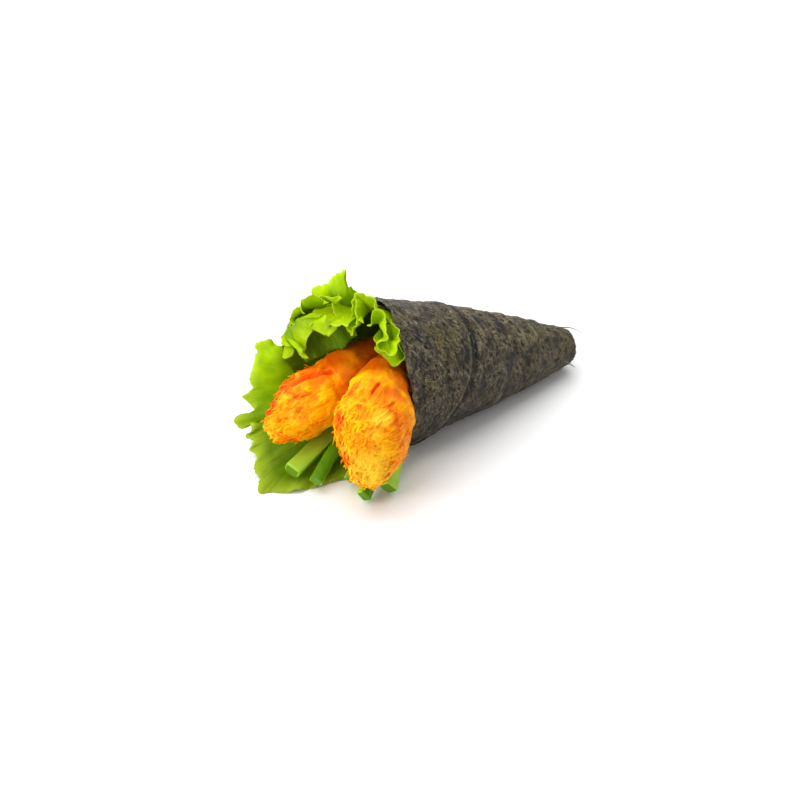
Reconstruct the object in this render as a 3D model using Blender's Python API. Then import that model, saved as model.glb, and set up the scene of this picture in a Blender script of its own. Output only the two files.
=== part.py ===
# Temaki hand roll lying on its side: a nori cone holding one frilly lettuce leaf,
# two tempura prawns and five cucumber sticks. Metres, +Z up, mouth towards -Y, tip towards +Y.
import math

import bpy
from mathutils import Vector

MM = 0.001

# Nori cone, in millimetres and degrees. t runs from the blunt tip to the mouth along the axis,
# phi turns round the axis: 0 on the +X side, 90 on top.
TIP_X = -5.8
TIP_Y = 70.1
LIFT = 2.0
TIP_RADIUS = 6.9
TIP_SLOPE = 0.3405
MOUTH_SLOPE = 0.10
CONE_LENGTH = 100.0
TILT = math.radians(12.42)
WALL = 0.9
TIP_ROUNDING = ((-1.2, 0.55), (-0.7, 0.86))
TIP_END = -1.5
FLAP_STEP = 0.8
FLAP_CORNER_LIFT = 1.6
FLAP_SEAM = 56.0
FLAP_PEAK = 75.0
FLAP_TURN = 0.36
SEAM_WIDTH = 0.5
PLUG_DEPTH = 36.0
BULGE_HEIGHT = 14.0
BULGE = 0.11
CLEARANCE = 0.35
# Mouth edge of the wrap: (phi, t), all the way round.
MOUTH_EDGE = [(-46, 81.5), (-10, 85.5), (35, 89.5), (65, 89.3), (95, 87.5), (108, 90), (123, 102),
              (132, 110), (185, 111.5), (215, 104), (250, 92), (285, 84), (314, 81.5)]

# Lettuce leaf: one line of the leaf for each row, from the upper near side over the top,
# down the far side and along the bottom: (phi where it leaves the wall, phi, t, radius of its edge).
LEAF_THICKNESS = 1.0
LEAF_START = 50.0
LEAF_LINES = [
    (42, 36.5, 93.5, 25.5), (48, 47, 88.5, 25.4), (57, 56, 89, 24), (68, 66, 88, 25), (75, 79, 93, 26.5),
    (82, 84, 97, 20), (90, 95, 101, 16.5), (97, 98, 99, 28), (103, 101, 95.5, 33.5),
    (109, 108, 101.5, 41.5), (115, 115, 103.5, 36), (120, 118, 106, 24), (126, 122, 109.5, 33),
    (133, 134, 106, 16), (142, 149, 114, 29), (150, 158, 110, 18), (160, 168, 112.5, 28),
    (170, 175, 110, 15), (178, 181, 115, 29), (185, 190, 111, 25), (190, 187, 120.5, 36),
    (198, 200, 121, 34.5), (206, 210, 122, 36.5), (213, 213, 118, 32), (218, 219, 126, 38),
    (225, 224, 123, 34), (230, 230, 130, 40), (237, 240, 128, 35), (246, 246, 132, 34),
    (255, 262, 131, 34), (266, 275, 134.5, 36.5), (277, 287, 137, 40), (284, 291, 130, 39),
    (290, 298, 118.6, 38.6), (295, 300, 111.5, 39), (300, 304, 105, 37)]

# Prawns: centre line as (x, y, t) in the cone's own axes, with the radius at each point.
PRAWN_LEFT = [(-5, 0, 41, 3.0), (-7, 1, 58, 7.0), (-8, 2, 74, 8.3), (-6.5, 1.5, 90, 8.2), (-3.5, -1, 97, 10.0),
              (-3.5, -7, 104, 11.4), (-1.5, -10, 112, 11.6), (0, -13.5, 119, 10.6), (2, -17, 126, 6.5)]
PRAWN_RIGHT = [(5, 1, 41, 3.0), (8, 3, 58, 6.8), (9.5, 5.5, 74, 8.2), (11, 7, 88, 8.0), (17, 5, 95, 10.2),
               (23.5, 2, 100, 13.0), (30, -2, 104, 14.0), (35.5, -8, 107, 12.6), (40.5, -15, 110, 7.5)]

# Cucumber sticks: centre line as (x, y in the cone's axes as height above the table, t),
# then width, height and the turn of the skin side.
STICKS = {
    "cucumber_stick_1": ([(-9, 11, 66), (-6, 9.6, 85), (1.5, 8.6, 102.5), (13, 7.0, 125)], 6.0, 4.4, 200),
    "cucumber_stick_2": ([(0, 9.0, 70), (3, 8.6, 90), (9, 8.0, 104), (21, 5.4, 119)], 4.8, 4.2, 20),
    "cucumber_stick_3": ([(7, 12, 62), (10.5, 11, 83), (24, 7.2, 95), (36, 3.7, 107)], 4.8, 4.6, 60),
    "cucumber_stick_4": ([(12.5, 14.8, 62), (16.4, 14.8, 81), (24.4, 11.4, 89.5), (37, 4.6, 98)], 5.6, 4.4, 240),
    "cucumber_stick_5": ([(8, 9.0, 88), (14, 8.8, 95), (26, 5.0, 108)], 3.4, 3.4, 40),
}


def cone_radius(t):
    return TIP_RADIUS + TIP_SLOPE * t - (TIP_SLOPE - MOUTH_SLOPE) * t * t / (2 * CONE_LENGTH)


def from_axes(x, y, t, floor=0.0):
    """A point from the cone's own axes to the part's frame, kept above the table."""
    z = LIFT + TIP_RADIUS * math.cos(TILT) + t * math.sin(TILT) + y * math.cos(TILT)
    return Vector((TIP_X + x, TIP_Y - t * math.cos(TILT) + y * math.sin(TILT), max(z, floor)))


def on_cone(t, phi, radius, floor=0.0):
    angle = math.radians(phi)
    return from_axes(radius * math.cos(angle), radius * math.sin(angle), t, floor)


def on_wrap(t, phi, radius, floor=0.0):
    """A point of the wrap, which spreads sideways a little where it rests on the table."""
    point = on_cone(t, phi, radius, floor)
    spread = max(0.0, 1 - point.z / BULGE_HEIGHT) ** 2
    point.x = TIP_X + (point.x - TIP_X) * (1 + BULGE * spread)
    return point


def smoothstep(low, high, value):
    share = min(max((value - low) / (high - low), 0.0), 1.0)
    return share * share * (3 - 2 * share)


def mouth_edge(phi):
    """Distance of the wrap's mouth edge from the tip at an angle round the cone."""
    phi = (phi + 46) % 360 - 46
    for (phi_a, t_a), (phi_b, t_b) in zip(MOUTH_EDGE, MOUTH_EDGE[1:]):
        if phi <= phi_b:
            return t_a + (t_b - t_a) * smoothstep(phi_a, phi_b, phi)
    return MOUTH_EDGE[-1][1]


def flap_seam(phi):
    """The straight cut edge of the sheet, which runs round the cone as a curve."""
    turn = ((phi - FLAP_PEAK + 180) % 360 - 180) * FLAP_TURN
    return min(FLAP_SEAM / math.cos(math.radians(turn)), mouth_edge(phi) - 4)


def flap_height(phi):
    """Step from the sheet under the flap to the flap: more at its loose corner, none at its back end."""
    near = (phi + 90) % 360 - 90
    corner = smoothstep(-5, -45, near) * smoothstep(-90, -60, near)
    room = mouth_edge(phi) - flap_seam(phi)
    return (FLAP_STEP + FLAP_CORNER_LIFT * corner) * smoothstep(4, 8, room)


def curve_through(points, steps):
    """Points of a smooth curve through the given points, with steps pieces between two of them."""
    ends = [tuple(2 * a - b for a, b in zip(points[0], points[1]))]
    ends += points
    ends += [tuple(2 * a - b for a, b in zip(points[-1], points[-2]))]
    curve = []
    for i in range(1, len(ends) - 2):
        p0, p1, p2, p3 = ends[i - 1:i + 3]
        for k in range(steps):
            s = k / steps
            curve.append(tuple(
                0.5 * (2 * b + (c - a) * s + (2 * a - 5 * b + 4 * c - d) * s ** 2
                       + (3 * b - a - 3 * c + d) * s ** 3)
                for a, b, c, d in zip(p0, p1, p2, p3)))
    curve.append(tuple(points[-1]))
    return curve


def add_object(name, vertices, faces, colour, roughness):
    mesh = bpy.data.meshes.new(name)
    mesh.from_pydata([v * MM for v in vertices], [], faces)
    mesh.validate()
    mesh.shade_smooth()
    material = bpy.data.materials.new(name)
    material.use_nodes = True
    shader = material.node_tree.nodes["Principled BSDF"]
    shader.inputs["Base Color"].default_value = (*colour, 1.0)
    shader.inputs["Roughness"].default_value = roughness
    mesh.materials.append(material)
    obj = bpy.data.objects.new(name, mesh)
    bpy.context.collection.objects.link(obj)
    return obj


def ring_faces(rows, sides):
    """Quads between rings of equal length, stored one after the other."""
    faces = []
    for i in range(rows - 1):
        for k in range(sides):
            m = (k + 1) % sides
            faces.append((i * sides + k, i * sides + m, (i + 1) * sides + m, (i + 1) * sides + k))
    return faces


def cap_faces(start, sides, pole, flip):
    faces = []
    for k in range(sides):
        m = (k + 1) % sides
        faces.append((start + k, pole, start + m) if flip else (start + k, start + m, pole))
    return faces


def make_wrap(sides=48, tip_rows=10, flap_rows=5, inner_rows=7):
    """The rolled sheet: outside from the tip to the mouth with the flap's step, then down inside."""
    rings = []
    angles = [360 * k / sides for k in range(sides)]
    for t, share in TIP_ROUNDING:
        rings.append([on_wrap(t, phi, TIP_RADIUS * share) for phi in angles])
    for i in range(tip_rows + 1):
        ring = []
        for phi in angles:
            t = flap_seam(phi) * i / tip_rows
            ring.append(on_wrap(t, phi, cone_radius(t)))
        rings.append(ring)
    for i in range(flap_rows + 1):
        ring = []
        for phi in angles:
            first = flap_seam(phi) + SEAM_WIDTH
            t = first + (mouth_edge(phi) - first) * i / flap_rows
            ring.append(on_wrap(t, phi, cone_radius(t) + flap_height(phi)))
        rings.append(ring)
    for i in range(inner_rows + 1):
        ring = []
        for phi in angles:
            t = mouth_edge(phi) + (PLUG_DEPTH - mouth_edge(phi)) * i / inner_rows
            ring.append(on_wrap(t, phi, cone_radius(t) - WALL, WALL))
        rings.append(ring)
    vertices = [v for ring in rings for v in ring]
    faces = ring_faces(len(rings), sides)
    tip_pole = len(vertices)
    vertices.append(from_axes(0, 0, TIP_END))
    plug_pole = len(vertices)
    vertices.append(from_axes(0, 0, PLUG_DEPTH - 3))
    faces += cap_faces(0, sides, tip_pole, True)
    faces += cap_faces((len(rings) - 1) * sides, sides, plug_pole, False)
    return add_object("nori_wrap", vertices, faces, (0.05, 0.045, 0.03), 0.6)


def leaf_line(base_phi, edge_phi, edge_t, edge_radius, wall_rows, free_rows):
    """One line of the leaf: along the inside of the wrap, then over its mouth to the leaf's edge."""
    inset = WALL + CLEARANCE + LEAF_THICKNESS / 2
    leave = min(mouth_edge(base_phi) + 2.2, max(edge_t - 6, LEAF_START + 12))
    line = []
    for i in range(wall_rows):
        t = LEAF_START + (leave - LEAF_START) * i / wall_rows
        line.append(on_cone(t, base_phi, cone_radius(t) - inset, inset))
    start = on_cone(leave, base_phi, cone_radius(leave) - inset, inset)
    end = on_cone(edge_t, edge_phi, edge_radius, 0.6)
    reach = (end - start).length
    knee = on_cone(leave + 0.45 * reach, base_phi, cone_radius(leave) - inset, inset)
    for i in range(free_rows + 1):
        s = i / free_rows
        line.append(start * (1 - s) ** 2 + knee * 2 * s * (1 - s) + end * s ** 2)
    return line


def make_leaf(steps=3, wall_rows=3, free_rows=6):
    """The leaf as a thin closed sheet: a front and a back a leaf's thickness apart."""
    lines = [leaf_line(*row, wall_rows, free_rows) for row in curve_through(LEAF_LINES, steps)]
    columns = len(lines)
    rows = len(lines[0])
    normals = []
    for i in range(columns):
        for j in range(rows):
            along = lines[min(i + 1, columns - 1)][j] - lines[max(i - 1, 0)][j]
            out = lines[i][min(j + 1, rows - 1)] - lines[i][max(j - 1, 0)]
            normals.append(along.cross(out).normalized())
    middle = [v for line in lines for v in line]
    half = LEAF_THICKNESS / 2
    vertices = [v + n * half for v, n in zip(middle, normals)]
    vertices += [v - n * half for v, n in zip(middle, normals)]
    count = len(middle)
    faces = []
    for i in range(columns - 1):
        for j in range(rows - 1):
            a, b = i * rows + j, (i + 1) * rows + j
            faces.append((a, b, b + 1, a + 1))
            faces.append((count + a, count + a + 1, count + b + 1, count + b))
    border = [i * rows for i in range(columns)]
    border += [(columns - 1) * rows + j for j in range(1, rows)]
    border += [i * rows + rows - 1 for i in range(columns - 2, -1, -1)]
    border += [j for j in range(rows - 2, 0, -1)]
    for a, b in zip(border, border[1:] + border[:1]):
        faces.append((a, count + a, count + b, b))
    return add_object("lettuce_leaf", vertices, faces, (0.25, 0.48, 0.02), 0.45)


def sweep(centres, sections):
    """Rings of a section carried along a centre line, and the faces that close it."""
    vertices = []
    sides = len(sections[0])
    up = Vector((0, 0, 1))
    for i, centre in enumerate(centres):
        ahead = (centres[min(i + 1, len(centres) - 1)] - centres[max(i - 1, 0)]).normalized()
        side = ahead.cross(up).normalized()
        top = side.cross(ahead).normalized()
        vertices += [centre + side * a + top * b for a, b in sections[i]]
    count = len(centres)
    faces = [tuple(reversed(f)) for f in ring_faces(count, sides)]
    faces.append(tuple(range(sides)))
    faces.append(tuple(reversed(range((count - 1) * sides, count * sides))))
    return vertices, faces


def make_prawn(name, points, seed, sides=20, steps=3):
    """A battered prawn: a thick curved body with uneven batter and blunt rounded ends."""
    curve = curve_through(points, steps)
    first = curve[0]
    last = curve[-1]
    before = curve[-2]
    push = [(a - b) for a, b in zip(last[:3], before[:3])]
    for share, forward in ((0.82, 0.9), (0.45, 1.5)):
        curve.append((*[a + forward * b for a, b in zip(last[:3], push)], last[3] * share))
    curve.insert(0, (*first[:2], first[2] - 1.6, first[3] * 0.5))
    centres = [from_axes(x, y, t) for x, y, t, _ in curve]
    sections = []
    for i, (_, _, t, radius) in enumerate(curve):
        batter = smoothstep(88, 100, t)
        section = []
        for k in range(sides):
            angle = math.tau * k / sides
            lump = 0.05 * math.sin(3 * angle + seed + 0.9 * i) + 0.04 * math.sin(5 * angle - 1.3 * i + 2 * seed)
            grown = radius * (1 + lump * batter)
            section.append((grown * math.cos(angle), grown * math.sin(angle)))
        sections.append(section)
    vertices, faces = sweep(centres, sections)
    return add_object(name, vertices, faces, (0.9, 0.36, 0.02), 0.5)


def make_stick(name, points, width, height, turn, steps=4):
    """A cut strip of cucumber: three flat cut sides and a rounded side with the skin."""
    centres = []
    for x, lift, t in curve_through(points, steps):
        y = (lift - LIFT - TIP_RADIUS * math.cos(TILT) - t * math.sin(TILT)) / math.cos(TILT)
        centres.append(from_axes(x, y, t))
    profile = [(-0.5, -0.42), (0.5, -0.42), (0.5, 0.2), (0.3, 0.42), (0.0, 0.5), (-0.3, 0.42), (-0.5, 0.2)]
    angle = math.radians(turn)
    section = []
    for a, b in profile:
        a, b = a * width, b * height
        section.append((a * math.cos(angle) - b * math.sin(angle), a * math.sin(angle) + b * math.cos(angle)))
    vertices, faces = sweep(centres, [section] * len(centres))
    return add_object(name, vertices, faces, (0.3, 0.5, 0.08), 0.35)


def main():
    for obj in list(bpy.data.objects):
        bpy.data.objects.remove(obj, do_unlink=True)
    make_wrap()
    make_leaf()
    make_prawn("prawn_left", PRAWN_LEFT, 0.4)
    make_prawn("prawn_right", PRAWN_RIGHT, 2.1)
    for name, (points, width, height, turn) in STICKS.items():
        make_stick(name, points, width, height, turn)


main()
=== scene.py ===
import itertools
import math

import bmesh
import bpy
import numpy as np
from mathutils import Matrix, Vector


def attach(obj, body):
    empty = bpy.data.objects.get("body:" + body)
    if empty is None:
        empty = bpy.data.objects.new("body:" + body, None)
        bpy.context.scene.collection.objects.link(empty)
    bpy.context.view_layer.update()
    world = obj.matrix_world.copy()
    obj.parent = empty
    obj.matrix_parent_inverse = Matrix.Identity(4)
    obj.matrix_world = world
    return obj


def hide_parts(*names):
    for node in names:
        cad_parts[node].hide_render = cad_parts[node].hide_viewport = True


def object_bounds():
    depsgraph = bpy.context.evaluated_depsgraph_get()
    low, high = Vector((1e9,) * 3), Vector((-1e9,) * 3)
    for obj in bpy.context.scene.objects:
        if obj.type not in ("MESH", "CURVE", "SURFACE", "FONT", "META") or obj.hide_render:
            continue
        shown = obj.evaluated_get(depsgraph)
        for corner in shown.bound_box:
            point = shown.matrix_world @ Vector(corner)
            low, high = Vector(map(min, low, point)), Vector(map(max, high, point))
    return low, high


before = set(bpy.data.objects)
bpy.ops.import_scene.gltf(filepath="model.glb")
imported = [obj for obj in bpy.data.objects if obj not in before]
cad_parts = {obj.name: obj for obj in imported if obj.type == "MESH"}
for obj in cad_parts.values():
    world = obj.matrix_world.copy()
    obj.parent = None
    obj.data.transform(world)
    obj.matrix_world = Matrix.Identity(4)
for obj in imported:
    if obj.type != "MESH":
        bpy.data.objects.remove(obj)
solidLow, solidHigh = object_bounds()
mm = 0.001
sheetUnit = 100.0     # mm of the flat nori sheet to one uv unit

# The nori cone's own axes, in mm and degrees: t runs from the blunt tip to the mouth,
# phi turns round the cone from the +X side (0) over the top (90).
roll = {
    "tipX": -5.8,
    "tipY": 70.1,
    "lift": 2.0,
    "tipRadius": 6.9,
    "tipSlope": 0.3405,
    "mouthSlope": 0.10,
    "length": 100.0,
    "tilt": math.radians(12.42),
    "bulgeHeight": 14.0,  # below this height the roll spreads sideways
    "bulge": 0.11,        # and at the table by this share
    "apex": 20.3,         # how far behind the tip its sides would meet
    "side": 1.06,         # length along a side for each mm of t
}


def coneRadius(t):
    bend = (roll["tipSlope"] - roll["mouthSlope"]) / (2 * roll["length"])
    return roll["tipRadius"] + roll["tipSlope"] * t - bend * t * t


def fromAxes(x, y, t):
    # a point of the cone's own axes in the part's frame, still in mm
    cosTilt, sinTilt = math.cos(roll["tilt"]), math.sin(roll["tilt"])
    x, y, t = np.broadcast_arrays(x, y, t)
    height = roll["lift"] + roll["tipRadius"] * cosTilt + t * sinTilt + y * cosTilt
    return np.stack([roll["tipX"] + x, roll["tipY"] - t * cosTilt + y * sinTilt, height], axis=-1)


def onCone(t, phi, radius, floor=None):
    angle = np.radians(phi)
    points = fromAxes(radius * np.cos(angle), radius * np.sin(angle), t)
    if floor is not None:
        points[..., 2] = np.maximum(points[..., 2], floor)
    return points


def onWrap(t, phi, radius, floor=0.0):
    # the wrap spreads sideways a little where it rests on the table
    points = onCone(t, phi, radius, floor)
    sag = np.maximum(0.0, 1 - points[..., 2] / roll["bulgeHeight"]) ** 2
    points[..., 0] = roll["tipX"] + (points[..., 0] - roll["tipX"]) * (1 + roll["bulge"] * sag)
    return points


def smoothStep(low, high, value):
    share = np.clip((np.asarray(value, float) - low) / (high - low), 0.0, 1.0)
    return share * share * (3 - 2 * share)


def bell(value, centre, width):
    # 1 at the centre, falling off smoothly to both sides
    return np.exp(-((value - centre) / width) ** 2)


def lumps(points, size, seed):
    # smooth random values from -1 to 1, about one lump for each size; each whole cell is hashed to a number
    spot = np.asarray(points, float) / size + seed * 7.13
    cell = np.floor(spot).astype(np.int64)
    inside = spot - cell
    inside = inside * inside * (3 - 2 * inside)
    total = np.zeros(spot.shape[:-1])
    for corner in itertools.product((0, 1), repeat=3):
        c = cell + np.array(corner)
        mixed = c[..., 0] * 73856093 ^ c[..., 1] * 19349663 ^ c[..., 2] * 83492791
        mixed = (mixed ^ (mixed >> 13)) * 1274126177
        value = ((mixed ^ (mixed >> 16)) & 65535) / 32767.5 - 1
        weight = np.prod(np.where(np.array(corner) == 1, inside, 1 - inside), axis=-1)
        total += value * weight
    return total


def curveThrough(points, steps):
    # a smooth curve through the given points, with steps pieces between two of them
    points = np.asarray(points, float)
    ends = np.vstack([2 * points[0] - points[1], points, 2 * points[-1] - points[-2]])
    s = (np.arange(steps) / steps)[:, None]
    curve = []
    for a, b, c, d in zip(ends[:-3], ends[1:-2], ends[2:-1], ends[3:]):
        curve.append(0.5 * (2 * b + (c - a) * s + (2 * a - 5 * b + 4 * c - d) * s ** 2
                            + (3 * b - a - 3 * c + d) * s ** 3))
    return np.vstack(curve + [points[-1:]])


def directions(line):
    # at each point of a line: the way ahead, the level way across it, and the way up from both
    ahead = np.gradient(line, axis=0)
    ahead /= np.linalg.norm(ahead, axis=1, keepdims=True)
    side = np.cross(ahead, (0, 0, 1.0))
    side /= np.linalg.norm(side, axis=1, keepdims=True)
    return ahead, side, np.cross(side, ahead)


def gridFaces(rows, columns, closed):
    # quads of a grid stored row by row, closed round its columns or open
    row = np.arange(rows - 1)[:, None]
    column = np.arange(columns if closed else columns - 1)[None, :]
    after = (column + 1) % columns
    quads = [row * columns + column, row * columns + after,
             (row + 1) * columns + after, (row + 1) * columns + column]
    return np.stack(np.broadcast_arrays(*quads), axis=-1).reshape(-1, 4)


def endFans(rows, columns):
    # triangles that close both ends of a tube of rings, to one point for each end stored after them
    k = np.arange(columns)
    after = (k + 1) % columns
    pole = np.full(columns, rows * columns)
    last = (rows - 1) * columns
    return np.stack([after, k, pole], axis=-1), np.stack([last + k, last + after, pole + 1], axis=-1)


def thinSheetFaces(rows, columns):
    # faces of a thin sheet stored as two grids, one for each side, joined round their border
    count = rows * columns
    quads = gridFaces(rows, columns, False)
    border = list(range(columns)) + [i * columns + columns - 1 for i in range(1, rows)]
    border += list(range(count - 2, count - columns - 1, -1)) + [i * columns for i in range(rows - 2, 0, -1)]
    border = np.array(border)
    after = np.roll(border, -1)
    skirt = np.stack([border, after, after + count, border + count], axis=-1)
    return np.vstack([quads[:, ::-1], quads + count, skirt])


def storeValues(mesh, values):
    # under each name, one number for each point
    for name, numbers in values.items():
        layer = mesh.attributes.new(name, "FLOAT", "POINT")
        layer.data.foreach_set("value", np.asarray(numbers, np.float32).ravel())


def makePiece(name, points, faces, material, uv=None, values=None):
    # points in mm; uv gives one pair for each face corner, values one number for each point
    mesh = bpy.data.meshes.new(name)
    mesh.from_pydata((np.asarray(points) * mm).tolist(), [], [list(map(int, f)) for f in faces])
    if uv is not None:
        mesh.uv_layers.new(name="sheet").data.foreach_set("uv", np.asarray(uv, np.float32).ravel())
    storeValues(mesh, values or {})
    mesh.shade_smooth()
    mesh.materials.append(material)
    piece = bpy.data.objects.new(name, mesh)
    bpy.context.collection.objects.link(piece)
    return piece


def dress(piece, slot, *nodes):
    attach(piece, "root")
    if nodes:
        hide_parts(*nodes)
    return piece


def colour(hexText):
    # an sRGB hex colour as the linear values that shaders take
    parts = [int(hexText[i:i + 2], 16) / 255 for i in (1, 3, 5)]
    return (*[p / 12.92 if p <= 0.04045 else ((p + 0.055) / 1.055) ** 2.4 for p in parts], 1.0)


def feed(tree, node, inputs):
    # each input, by its place or its name, gets a value or the socket that drives it
    for key, value in inputs.items():
        if isinstance(key, str):
            socket = next(s for s in node.inputs if s.enabled and s.name == key)
        else:
            socket = node.inputs[key]
        if isinstance(value, bpy.types.NodeSocket):
            tree.links.new(value, socket)
        else:
            socket.default_value = value


def addNode(tree, kind, inputs=None, out=None, **settings):
    # one node with its settings and what feeds it; gives the output of that name, or else its first one
    node = tree.nodes.new(kind)
    for key, value in settings.items():
        setattr(node, key, value)
    feed(tree, node, inputs or {})
    return next((s for s in node.outputs if s.enabled and out in (None, s.name)), None)


def newMaterial(name, *stored):
    # a material, its tree and shader, and the numbers that its meshes store under the given names
    material = bpy.data.materials.new(name)
    material.use_nodes = True
    tree = material.node_tree
    numbers = [addNode(tree, "ShaderNodeAttribute", out="Fac", attribute_name=key) for key in stored]
    return material, tree, tree.nodes["Principled BSDF"], *numbers


def layered(tree, shade, layers, within=None):
    # colours laid over a shade. Each row: a value, where it covers nothing, where it covers most, how much
    # that is, and the colour; within is a share that all rows are held to
    for value, low, high, most, tint in layers:
        cover = addNode(tree, "ShaderNodeMapRange", {0: value, 1: low, 2: high, 3: 0.0, 4: most})
        if within is not None:
            cover = addNode(tree, "ShaderNodeMath", {0: cover, 1: within}, operation="MULTIPLY")
        tint = colour(tint) if isinstance(tint, str) else tint
        shade = addNode(tree, "ShaderNodeMix", {0: cover, 6: shade, 7: tint}, data_type="RGBA")
    return shade


def bakeModifiers(piece):
    # the evaluated result becomes the piece's own plain mesh
    graph = bpy.context.evaluated_depsgraph_get()
    result = bpy.data.meshes.new_from_object(piece.evaluated_get(graph))
    piece.modifiers.clear()
    piece.data = result
    return piece


def scatterNodes(name, kinds, material, swing, size):
    # small pieces scattered over a surface where its "ragged" value says so, lying along its "flow"
    tree = bpy.data.node_groups.new(name, "GeometryNodeTree")
    for label, kind in (("Surface", "Geometry"), ("Per square mm", "Float"), ("Apart", "Float"),
                        ("Seed", "Int")):
        tree.interface.new_socket(label, in_out="INPUT", socket_type="NodeSocket" + kind)
    tree.interface.new_socket("Scattered", in_out="OUTPUT", socket_type="NodeSocketGeometry")
    given = addNode(tree, "NodeGroupInput").node.outputs
    got = {}      # what the surface stores, and the random values, by name
    for label, kind in (("ragged", "FLOAT"), ("flow", "FLOAT_VECTOR")):
        got[label] = addNode(tree, "GeometryNodeInputNamedAttribute", {"Name": label}, data_type=kind)
    for label, kind, low, high, seed in (
            ("turn", "FLOAT_VECTOR", *swing, 4), ("size", "FLOAT_VECTOR", *size, 5),
            ("tone", "FLOAT", 0.0, 1.0, 9), ("kind", "INT", 0, len(kinds) - 1, 2)):
        limits = {"Min": low, "Max": high, "Seed": seed}
        got[label] = addNode(tree, "FunctionNodeRandomValue", limits, data_type=kind)
    most = addNode(tree, "ShaderNodeMath", {0: given["Per square mm"], 1: 1 / mm ** 2}, operation="MULTIPLY")
    dots = addNode(tree, "GeometryNodeDistributePointsOnFaces",
                   {"Mesh": given["Surface"], "Distance Min": given["Apart"], "Seed": given["Seed"],
                    "Density Max": most, "Density Factor": got["ragged"]}, distribute_method="POISSON")
    facing = addNode(tree, "FunctionNodeAxesToRotation", {0: dots.node.outputs["Normal"], 1: got["flow"]},
                     primary_axis="Z", secondary_axis="X")
    sway = addNode(tree, "FunctionNodeEulerToRotation", {0: got["turn"]})
    turned = addNode(tree, "FunctionNodeRotateRotation", {0: facing, 1: sway}, rotation_space="LOCAL")
    choice = addNode(tree, "GeometryNodeJoinGeometry")
    for kind in kinds:
        shape = addNode(tree, "GeometryNodeObjectInfo", {"Object": kind, "As Instance": True}, out="Geometry")
        tree.links.new(shape, choice.node.inputs[0])
    marked = addNode(tree, "GeometryNodeStoreNamedAttribute",
                     {"Geometry": dots, "Name": "tone", "Value": got["tone"]},
                     data_type="FLOAT", domain="POINT")
    placed = addNode(tree, "GeometryNodeInstanceOnPoints",
                     {"Points": marked, "Instance": choice, "Pick Instance": True,
                      "Instance Index": got["kind"], "Rotation": turned, "Scale": got["size"]})
    real = addNode(tree, "GeometryNodeRealizeInstances", {"Geometry": placed})
    coat = addNode(tree, "GeometryNodeSetMaterial", {"Geometry": real, "Material": material})
    addNode(tree, "NodeGroupOutput", {0: coat})
    return tree


def scatter(surface, tree, values):
    # the scattered pieces over one surface, as a plain mesh of their own
    piece = bpy.data.objects.new(surface.name + "Scatter", surface.data.copy())
    bpy.context.collection.objects.link(piece)
    modifier = piece.modifiers.new("scatter", "NODES")
    modifier.node_group = tree
    for item in tree.interface.items_tree:
        if item.in_out == "INPUT" and item.name in values:
            modifier[item.identifier] = values[item.name]
    return bakeModifiers(piece)


def joined(name, pieces):
    # several meshes as one piece
    with bpy.context.temp_override(active_object=pieces[0], selected_editable_objects=pieces):
        bpy.ops.object.join()
    pieces[0].name = pieces[0].data.name = name
    print(name, "has", len(pieces[0].data.polygons), "faces")
    return pieces[0]


# how the camera looks at the roll: angles, then distance and target in mm
view = {
    "azimuth": math.radians(58.8),
    "elevation": math.radians(35.0),
    "distance": 728.4,
    "target": (-5.8, 30.1, 26.0),
    "aimRight": 0.04166,  # how far the sight line is turned from the target, as a share of its length
    "aimUp": 0.03166,
    "lens": 85.0,
    "nearest": 0.01,      # in metres
}


def makeCamera():
    a, e = view["azimuth"], view["elevation"]
    back = Vector((math.sin(a) * math.cos(e), -math.cos(a) * math.cos(e), math.sin(e)))
    side = Vector((math.cos(a), math.sin(a), 0))
    up = back.cross(side)
    aimed = (back + side * view["aimRight"] + up * view["aimUp"]).normalized()
    turn = back.rotation_difference(aimed) @ back.to_track_quat("Z", "Y")
    data = bpy.data.cameras.new("camera")
    data.lens = view["lens"]
    data.clip_start = view["nearest"]
    camera = bpy.data.objects.new("camera", data)
    bpy.context.collection.objects.link(camera)
    place = (Vector(view["target"]) + back * view["distance"]) * mm
    camera.matrix_world = Matrix.Translation(place) @ turn.to_matrix().to_4x4()
    bpy.context.scene.camera = camera


# two soft lamps, places and sizes in mm, and the light of the whole room
lights = {
    "key": {"place": (-300, -10, 690), "size": 1300, "watts": 9.0},
    "fill": {"place": (-60, -700, 260), "size": 500, "watts": 3.0},
    "room": 0.56,
}


def makeLights():
    middle = (solidLow + solidHigh) / 2
    for name in ("key", "fill"):
        values = lights[name]
        data = bpy.data.lights.new(name, "AREA")
        data.shape = "DISK"
        data.size = values["size"] * mm
        data.energy = values["watts"]
        lamp = bpy.data.objects.new(name, data)
        bpy.context.collection.objects.link(lamp)
        lamp.location = Vector(values["place"]) * mm
        lamp.rotation_euler = (lamp.location - middle).to_track_quat("Z", "Y").to_euler()
    world = bpy.data.worlds.new("room")
    world.use_nodes = True
    tree = world.node_tree
    feed(tree, tree.nodes["Background"], {"Color": colour("#ffffff"), "Strength": lights["room"]})
    bpy.context.scene.world = world
    bpy.context.scene.view_settings.view_transform = "Standard"


board = {"reach": 2500, "drop": 0.05}     # mm


def makeFloor():
    # matt white studio board, very slightly mottled
    material, tree, shader = newMaterial("paintedBoard")
    mottle = addNode(tree, "ShaderNodeTexNoise", {"Scale": 30.0, "Detail": 3.0})
    shade = layered(tree, colour("#fbfbfb"), [(mottle, 0.0, 1.0, 1.0, "#ffffff")])
    feed(tree, shader, {"Base Color": shade, "Roughness": 0.9, "Specular IOR Level": 0.1})
    size, down = board["reach"], -board["drop"]
    corners = [(-size, -size, down), (size, -size, down), (size, size, down), (-size, size, down)]
    makePiece("floor", corners, [(0, 1, 2, 3)], material)


makeCamera()
makeLights()
makeFloor()
print("camera, lights and floor are in place")

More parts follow.
